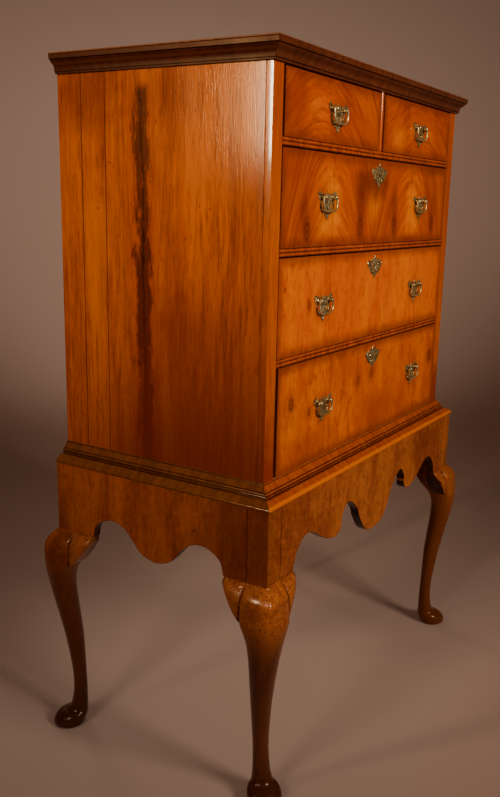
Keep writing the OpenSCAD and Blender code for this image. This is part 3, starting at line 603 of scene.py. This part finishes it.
def board_walnut(name, tones, grain_along="z", seed=0.0, streak=None, joints=(), patches=(),
                 foot=None, contrast=0.36, stretch=0.08, coat=0.25, rough=(0.18, 0.32),
                 depth=0.0003, relief=0.35, across="y", burr=0.0, skin=0.12):
    """Straight-grained boards; a side also has a streak, joints and painted shade towards its foot.
    """
    finish = Finish(name)
    x, y, z = finish.axes(finish.place)
    run = x if across == "x" else y
    scale = (1, 1, stretch) if grain_along == "z" else (stretch, 1, 1)
    where = finish.placed(finish.place, scale, (seed, seed, 0))
    colour, height = grain(finish, tones, where, contrast, 11, 110)
    if burr:
        mottle = finish.noise(finish.place, 55, 5, 0.75, 0.5)
        colour = finish.blend(finish.step(mottle, 0.50, 0.62, 0, burr), colour, tones[2])
        pale = tuple(1.3 * c for c in tones[0])
        colour = finish.blend(finish.step(mottle, 0.46, 0.36, 0, burr), colour, pale)
    colour = clouds(finish, colour, run, z, patches)
    if streak:
        colour = heartwood(finish, colour, y, z, streak, tones[2])
    colour = add_joints(finish, colour, run, joints, 0.0024, 0.85)
    # painted shade: the board darkens towards the foot, and higher up towards the back
    if foot:
        fray = finish.centred(finish.noise(where, 55, 5, 0.75), 0.35)
        slope = finish.math("MULTIPLY", finish.math("MAXIMUM", y, 0.04), 1.4)
        drift = finish.math("ADD", finish.math("ADD", z, fray), slope)
        colour = finish.blend(finish.step(drift, foot[0], foot[1], 0.85, 0), colour, UMBER)
    spots = finish.noise(finish.place, 60, 2, 0.5)
    colour = finish.blend(finish.step(spots, 0.70, 0.76, 0, 0.6), colour, UMBER)
    return polish(finish, colour, height, rough=rough, coat=coat, depth=depth, skin=skin,
                  rubbed=(1, 1, 0.12), relief=relief)


SIDE = ((0.36, 0.080, 0.003), (0.25, 0.046, 0.002), (0.085, 0.012, 0.002))
STRIP = ((0.54, 0.11, 0.003), (0.38, 0.06, 0.002), (0.16, 0.018, 0.002))
SIDE_JOINTS = (0.221, 0.155)
side_finish = board_walnut(
    "walnut_side_board", SIDE, joints=SIDE_JOINTS, foot=(0.76, 1.24), streak=0.0440, coat=0.6,
    rough=(0.14, 0.30), skin=0.10, contrast=0.60, depth=0.0005, relief=0.45,
    patches=(((0.20, 1.47), (0.12, 0.09), UMBER, 0.6),
             ((0.19, 1.16), (0.055, 0.24), (0.46, 0.12, 0.0), 0.45),
             ((0.27, 1.25), (0.05, 0.20), (0.40, 0.10, 0.0), 0.35),
             ((-0.07, 1.32), (0.09, 0.13), (0.46, 0.10, 0.0), 0.35),
             ((-0.03, 1.02), (0.09, 0.12), (0.13, 0.012, 0.001), 0.45),
             ((0.02, 1.46), (0.14, 0.07), UMBER, 0.35),
             ((0.115, 1.15), (0.03, 0.35), UMBER, 0.25)))
plain = board_walnut("walnut_plain", STRIP,
                     patches=(((-0.25, 0.72), (1.0, 0.16), (0.20, 0.018, 0.002), 0.8),))
top_finish = board_walnut("walnut_top_board", SIDE, grain_along="x", joints=(-0.06, 0.12), seed=3.0)
for node in ("side_left", "side_right"):
    dress(node, side_finish, 0.0012)
dress("case_top", top_finish, 0.0)
stiles = dress("stiles", plain, 0.0012)
refinish(stiles, side_finish, lambda at, way: abs(way.x) > 0.7 and abs(at.x) > 0.470)
dress("top_divider", board_walnut("walnut_divider", STRIP, coat=1.0, rough=(0.10, 0.16)), 0.0)
print("side joints at y =", SIDE_JOINTS, "m")

# %% [markdown]
# ## Mouldings
# The cornice, the beads round the drawers and the waist moulding are made of short lengths
# of walnut glued across the run, so their grain runs over the profile instead of along it.
# The cornice has gone nearly black with wax and smoke, and its runs along the sides are
# darker still. The beads are bright, with soot and painted shade in their hollows. The
# waist moulding has a painted highlight low on its front, and its side runs are a darker
# copy, painted as shade. One recipe does all three: thin level lines stand for the soot
# and painted shade in the hollows, for painted highlights on rounded edges and for a
# painted darker band on the cornice's fascia, and a change of tone every few centimetres
# tells the short lengths apart.

# %% Cross-grained mouldings
def cross_grain(name, tones, run=0, length=0.09, rough=(0.22, 0.40), coat=0.2, lines=(),
                figure=0.25):
    """Short lengths with their grain over the profile; level lines of soot, painted shade and
    painted highlights along it.
    """
    finish = Finish(name)
    axes = finish.axes(finish.place)
    run, z = axes[run], axes[2]
    where = finish.point(run, 0.0, finish.math("MULTIPLY", z, 0.3))
    colour, height = grain(finish, tones, where, figure, 60, 150)
    short = finish.tree.nodes.new("ShaderNodeTexWhiteNoise")
    short.noise_dimensions = "1D"
    finish.feed(short.inputs["W"], finish.math("FLOOR", finish.math("DIVIDE", run, length)))
    colour = finish.blend(finish.math("MULTIPLY", short.outputs["Value"], 0.12), colour, tones[2])
    level = finish.math("ADD", z, finish.centred(finish.noise(finish.place, 90, 3, 0.6), 0.003))
    for at, half, tone, strength in lines:
        away = finish.math("ABSOLUTE", finish.math("SUBTRACT", level, at))
        colour = finish.blend(finish.step(away, half * 0.5, half, strength, 0), colour, tone)
    return polish(finish, colour, height, rough=rough, coat=coat)


CASE_HALF, CASE_FRONT = 0.475, 0.250


def on_a_side(at, way):
    """True on the runs along the sides, outside the line of the front mitres."""
    return abs(at.x) - CASE_HALF > -at.y - CASE_FRONT


CORNICE = ((0.110, 0.026, 0.009), (0.080, 0.017, 0.007), (0.022, 0.004, 0.003))
CORNICE_SIDE = ((0.044, 0.007, 0.003), (0.028, 0.004, 0.002), (0.012, 0.002, 0.001))
BEAD = ((0.50, 0.085, 0.004), (0.32, 0.048, 0.003), (0.07, 0.009, 0.001))
WAIST = ((0.40, 0.072, 0.003), (0.32, 0.050, 0.002), (0.12, 0.016, 0.002))
WAIST_SIDE = ((0.12, 0.034, 0.004), (0.090, 0.024, 0.004), (0.016, 0.004, 0.002))
# soot in the hollows of the mouldings, with painted shade where the hollows fall dark
SOOT_AND_HOLLOW_SHADE = (0.018, 0.003, 0.001)
# each line: height, half width, tone, strength
# dark lines in the waist moulding's hollows: painted shade and soot
WAIST_HOLLOW_SHADE_AND_SOOT = ((0.7135, 0.0012, SOOT_AND_HOLLOW_SHADE, 0.85), (0.6945, 0.0022, SOOT_AND_HOLLOW_SHADE, 0.85),
              (0.7015, 0.0012, SOOT_AND_HOLLOW_SHADE, 0.8), (0.6905, 0.0010, SOOT_AND_HOLLOW_SHADE, 0.8))
# painted highlight along the rounded nose low on the waist moulding's front
WAIST_PAINTED_HIGHLIGHT = (0.677, 0.006, GLOW, 0.6)
# dark lines in the cornice's hollows and under its fascia: painted shade and soot
CORNICE_HOLLOW_SHADE_AND_SOOT = ((1.5195, 0.0015, SOOT_AND_HOLLOW_SHADE, 0.9), (1.5415, 0.0014, SOOT_AND_HOLLOW_SHADE, 0.9))
# painted lines on the cornice: highlights on its top edge and on the cyma, and a darker band on the
# fascia as painted shade
CORNICE_PAINTED_HIGHLIGHTS_AND_SHADE = ((1.5490, 0.0060, (0.040, 0.006, 0.002), 0.6), (1.5540, 0.0018, (0.24, 0.09, 0.03), 0.5),
          (1.5340, 0.0030, (0.10, 0.022, 0.004), 0.6))
cornice_finish = cross_grain("walnut_cornice", CORNICE, lines=CORNICE_HOLLOW_SHADE_AND_SOOT + CORNICE_PAINTED_HIGHLIGHTS_AND_SHADE[1:2])
cornice = dress("cornice", cornice_finish, 0.0010, turn=25)
refinish(cornice, cross_grain("walnut_cornice_side", CORNICE_SIDE, 1, rough=(0.34, 0.5), coat=0.0,
                              lines=CORNICE_HOLLOW_SHADE_AND_SOOT + CORNICE_PAINTED_HIGHLIGHTS_AND_SHADE), on_a_side)
RAIL_MIDDLES, HOLLOWS = (0.954, 1.171, 1.379), (-0.0078, 0.0, 0.0078)
# dark lines in the hollows between the beads: painted shade and soot
BEAD_HOLLOW_SHADE_AND_SOOT = tuple((z + off, 0.0016, SOOT_AND_HOLLOW_SHADE, 0.8) for z in RAIL_MIDDLES for off in HOLLOWS)
bead_finish = cross_grain("walnut_bead", BEAD, length=0.07, rough=(0.14, 0.26), coat=0.5,
                          lines=BEAD_HOLLOW_SHADE_AND_SOOT)
dress("rail_beads", bead_finish, 0.0)
waist_finish = cross_grain("walnut_waist", WAIST, length=0.12, lines=WAIST_HOLLOW_SHADE_AND_SOOT + (WAIST_PAINTED_HIGHLIGHT,))
waist = dress("waist_moulding", waist_finish, 0.0008, turn=25)
# the side runs get a darker copy of the waist finish: painted shade
refinish(waist, cross_grain("walnut_waist_side", WAIST_SIDE, 1, 0.12, (0.12, 0.24), 0.5,
                            WAIST_HOLLOW_SHADE_AND_SOOT, 0.10), on_a_side)
print("mouldings dressed")

# %% [markdown]
# ### The stand: aprons, legs and knee blocks
# The aprons are veneered with upright grain, and the same veneer runs on over the square
# posts above the knees, so that a front reads as one board; on the sides it is a darker
# copy, painted as shade. Their cut edges and all downward faces are painted near black, as
# shade. The legs are carved from the solid; the facets of the CAD loft are so small that
# shading across them gives back the continuous swell a spokeshave leaves. The knees are of
# burr-like wood full of small eyes, lighter than the shins, which have been darkened by
# boots and mops. The sideways half of each leg and the back legs' knees are painted darker,
# as shade, and the legs on the far side lighter, as painted light. The undersides and the
# inner faces of the front knee blocks are painted dark as shade too.

# %% Apron finishes
APRON = ((0.43, 0.110, 0.014), (0.28, 0.057, 0.009), (0.09, 0.015, 0.004))
APRON_SIDE = ((0.26, 0.052, 0.003), (0.17, 0.028, 0.002), (0.055, 0.008, 0.002))
UNDERSIDE_SHADE_TONES = ((0.06, 0.010, 0.002), (0.035, 0.006, 0.002), (0.012, 0.002, 0.001))
POST_SHADE = (0.045, 0.007, 0.002)
POST_SIDE, POST_BACK = 0.461, 0.236
apron_finish = board_walnut("walnut_apron", APRON, seed=1.7, coat=0.1, contrast=0.26,
                            stretch=0.35, across="x", burr=0.35, joints=(-POST_SIDE, POST_SIDE),
                            patches=(((-0.50, 0.6), (0.04, 0.3), UMBER, 0.5),
                                     ((0.30, 0.63), (0.12, 0.05), UMBER, 0.4)))
# the sides and the posts' sideways faces get a darker copy of the apron veneer: painted shade
apron_side_finish = board_walnut("walnut_apron_side", APRON_SIDE, seed=5.1, coat=0.1,
                                 contrast=0.30, stretch=0.16, joints=(-POST_BACK,), burr=0.2,
                                 patches=(((-0.24, 0.6), (0.20, 0.4), POST_SHADE, 0.45),))
# painted shade: downward faces of the aprons and legs and the inner faces of the front knee blocks
# get this near-black finish
underside_painted_shade = board_walnut("walnut_underside_painted_shade", UNDERSIDE_SHADE_TONES, seed=8.3, coat=0.0)
for node, finish in (("apron_front", apron_finish), ("apron_left", apron_side_finish),
                     ("apron_right", apron_side_finish)):
    apron = dress(node, finish, 0.0010)
    refinish(apron, underside_painted_shade, lambda at, way: way.z < -0.12)
print("apron finishes:", apron_finish.name, apron_side_finish.name)

# %% Leg finish
FOOT_DIRT = (0.030, 0.006, 0.001)
FAR_LEG_PAINTED_LIGHT = (0.26, 0.060, 0.003)


def leg_walnut(name, knee_tones, shin_tones):
    """Burr on the knees, plain dark wood below, darkest at the foot; painted shade on the sideways
    half and painted light on the far legs.
    """
    finish = Finish(name)
    x, y, z = finish.axes(finish.place)
    eyes = finish.tree.nodes.new("ShaderNodeTexVoronoi")
    jostle = finish.noise(finish.place, 60, 3, colour=True)
    finish.feed(eyes.inputs["Vector"], finish.blend(0.012, finish.place, jostle))
    eyes.inputs["Scale"].default_value = 170
    where = finish.placed(finish.place, (1, 1, 0.12))
    shin, height = grain(finish, shin_tones, where, 0.3, 14)
    mottle = finish.noise(finish.place, 60, 5, 0.8)
    knee = finish.blend(finish.step(mottle, 0.42, 0.60), knee_tones[0], knee_tones[1])
    drift = finish.noise(finish.place, 22, 3, 0.6)
    knee = finish.blend(finish.step(drift, 0.45, 0.62, 0, 0.4), knee, knee_tones[1])
    eye = finish.step(eyes.outputs["Distance"], 0.05, 0.30, 0.75, 0)
    knee = finish.blend(eye, knee, knee_tones[2])
    pin = finish.noise(finish.place, 330, 3, 0.6)
    knee = finish.blend(finish.step(pin, 0.54, 0.62, 0, 0.75), knee, knee_tones[2])
    lift = finish.math("ADD", z, finish.centred(mottle, 0.10))
    colour = finish.blend(finish.step(lift, 0.34, 0.48), shin, knee)
    # painted shade: the half of each leg that faces sideways is painted darker than the front half
    sideways = finish.math("SUBTRACT", finish.math("ABSOLUTE", x), finish.math("ABSOLUTE", y))
    colour = finish.blend(finish.step(sideways, 0.212, 0.262, 0, 0.55), colour, knee_tones[2])
    colour = finish.blend(finish.step(lift, 0.02, 0.16, 0.6, 0), colour, FOOT_DIRT)
    # painted light: the legs on the far right of the stand are painted lighter
    colour = finish.blend(finish.step(x, 0.20, 0.44, 0, 0.35), colour, FAR_LEG_PAINTED_LIGHT)
    return polish(finish, colour, height, rough=(0.20, 0.34), coat=0.35, depth=0.0002,
                  skin=0.16)


SHIN = ((0.135, 0.033, 0.010), (0.080, 0.018, 0.006), (0.024, 0.005, 0.002))
KNEE = ((0.50, 0.138, 0.022), (0.32, 0.080, 0.014), (0.05, 0.010, 0.004))
# painted shade: the back legs' knees are a darker copy of the front legs' knee tones
BACK_KNEE_PAINTED_SHADE = ((0.32, 0.064, 0.004), (0.17, 0.030, 0.003), (0.04, 0.006, 0.001))
leg_finish = leg_walnut("walnut_leg", KNEE, SHIN)
back_leg_finish = leg_walnut("walnut_back_leg_painted_shade", BACK_KNEE_PAINTED_SHADE, SHIN)
print("leg finishes:", leg_finish.name, back_leg_finish.name)

# %% Legs and knee blocks
POST_FROM = 0.505


def faces_into_stand(at, way):
    """True on the faces of the front knee blocks that look towards the middle of the stand."""
    return at.y < -0.15 and abs(at.x) < 0.46 and at.x * way.x < -0.35 * abs(at.x)


def carved(node, material):
    """A carved piece: shaded smooth, its post veneered like the aprons beside it, its downward
    faces painted dark as shade.
    """
    mesh = softened(node, 0.0)
    mesh.set_sharp_from_angle(angle=math.radians(CARVED_UP_TO))
    mesh.materials.append(material)
    piece = flat_faces_first(own(node, mesh, BODY[node]))
    if node != "knee_blocks":
        refinish(piece, apron_finish, lambda at, way: at.z > POST_FROM and way.y < -0.9)
        refinish(piece, apron_side_finish, lambda at, way: at.z > POST_FROM and abs(way.x) > 0.9)
    # painted shade on the downward faces, and on the inner faces of the front knee blocks
    refinish(piece, underside_painted_shade, lambda at, way: way.z < -0.8 and at.z > 0.3)
    if node == "knee_blocks":
        refinish(piece, underside_painted_shade, faces_into_stand)


for node in ("leg_front_left", "leg_front_right", "knee_blocks"):
    carved(node, leg_finish)
for node in ("leg_back_left", "leg_back_right"):
    carved(node, back_leg_finish)
print("legs and knee blocks dressed")

# %% [markdown]
# ## The hidden and inner parts
# The carcase, runners, drawer boxes and bottoms were never polished. The carcase and back
# are of pine, browned by dust, and the drawer linings are of oak. They keep their CAD
# meshes, because nothing on them is rounded, and only get their wood. The front edges of
# the rails, between the beads, are finished like the beads.

# %% Bare pine and oak
def bare_wood(name, tones, grain_along, seed):
    """Dry unpolished wood with dust on it."""
    finish = Finish(name)
    scale = [1.0, 1.0, 1.0]
    scale["xyz".index(grain_along)] = 0.1
    where = finish.placed(finish.place, scale, (seed, seed, seed))
    colour, height = grain(finish, tones, where, 0.35, 8)
    dust = finish.noise(finish.place, 9, 4, 0.6)
    colour = finish.blend(finish.step(dust, 0.42, 0.7, 0, 0.4), colour, tones[2])
    finish.feed(finish.shader.inputs["Base Color"], colour)
    finish.feed(finish.shader.inputs["Normal"], finish.bump(height, 0.0005, 0.5))
    finish.shader.inputs["Roughness"].default_value = 0.78
    return finish.material


PINE = ((0.42, 0.19, 0.060), (0.31, 0.130, 0.038), (0.12, 0.046, 0.014))
OAK = ((0.36, 0.18, 0.065), (0.26, 0.125, 0.043), (0.10, 0.045, 0.017))
pine_up = bare_wood("pine_upright", PINE, "z", 0.0)
pine_across = bare_wood("pine_across", PINE, "x", 2.0)
pine_deep = bare_wood("pine_front_to_back", PINE, "y", 4.0)
oak_deep = bare_wood("oak_front_to_back", OAK, "y", 6.0)
oak_across = bare_wood("oak_across", OAK, "x", 8.0)
for node, material in (("back_boards", pine_up), ("case_bottom", pine_across),
                       ("runners_and_guides", pine_deep), ("back_rail", pine_across),
                       ("bearers", pine_across), ("drawer_stops", oak_across)):
    frame["nodes"][node].material_slots[0].material = material
rails = dress("drawer_rails", pine_across, 0.0)
refinish(rails, bead_finish, lambda at, way: way.y < -0.9 and at.y < -0.24)
for drawer in FRONTS:
    frame["nodes"][drawer + "_box"].material_slots[0].material = oak_deep
    frame["nodes"][drawer + "_bottom"].material_slots[0].material = oak_across
print("inner woods done")

# %% [markdown]
# ## Brasses and locks
# The handles and keyhole plates are cast brass, lacquered once and now brown in the hollows
# and bright where fingers rub. Their plates are punched and engraved. The CAD plates are
# bevelled to a soft edge, and fine bumps stand in for the tooling. The locks inside are of
# iron with a dark skin of oxide.

# %% Brass and iron
BRASS_BRIGHT, BRASS_DULL = (0.82, 0.62, 0.28), (0.56, 0.39, 0.14)
BRASS_BROWN, BRASS_HOLLOW = (0.09, 0.05, 0.02), (0.035, 0.020, 0.008)


def old_brass(name, engraved):
    """Lacquered brass, brown in its hollows; a plate also has the relief of its tooling."""
    finish = Finish(name)
    patina = finish.noise(finish.place, 95, 4, 0.65)
    broad = finish.noise(finish.place, 30, 3, 0.6)
    colour = finish.blend(finish.step(broad, 0.35, 0.65), BRASS_BRIGHT, BRASS_DULL)
    colour = finish.blend(finish.step(patina, 0.52, 0.66, 0, 0.7), colour, BRASS_BROWN)
    if engraved:
        relief = finish.noise(finish.place, 130, 3, 0.6, 1.2)
        colour = finish.blend(finish.step(relief, 0.50, 0.43, 0, 0.8), colour, BRASS_HOLLOW)
    finish.feed(finish.shader.inputs["Base Color"], colour)
    finish.feed(finish.shader.inputs["Roughness"], finish.step(patina, 0.4, 0.7, 0.22, 0.6))
    finish.shader.inputs["Metallic"].default_value = 0.85
    if engraved:
        finish.feed(finish.shader.inputs["Normal"], finish.bump(relief, 0.0020, 0.9))
    else:
        finish.feed(finish.shader.inputs["Normal"], finish.bump(patina, 0.0004, 0.4))
    return finish.material


plate_brass = old_brass("brass_tooled", True)
bail_brass = old_brass("brass_smooth", False)

iron = Finish("iron_oxide")
rust = iron.noise(iron.place, 60, 5, 0.7)
oxide = iron.blend(iron.step(rust, 0.45, 0.7), (0.05, 0.045, 0.042), (0.11, 0.05, 0.028))
iron.feed(iron.shader.inputs["Base Color"], oxide)
iron.feed(iron.shader.inputs["Roughness"], iron.step(rust, 0.4, 0.7, 0.45, 0.8))
iron.feed(iron.shader.inputs["Normal"], iron.bump(rust, 0.0006, 0.6))
iron.shader.inputs["Metallic"].default_value = 0.85

for node in frame["nodes"]:
    if node.endswith(("_backplate", "_backplates", "_keyplate")):
        dress(node, plate_brass, 0.0004, turn=40, rounds=1)
    elif "_bail" in node:
        dress(node, bail_brass, 0.0)
    elif node.endswith("_lock"):
        frame["nodes"][node].material_slots[0].material = iron.material
    elif node.endswith("_bolt"):
        frame["nodes"][node].material_slots[0].material = bail_brass
print("pieces dressed:", len(pieces))
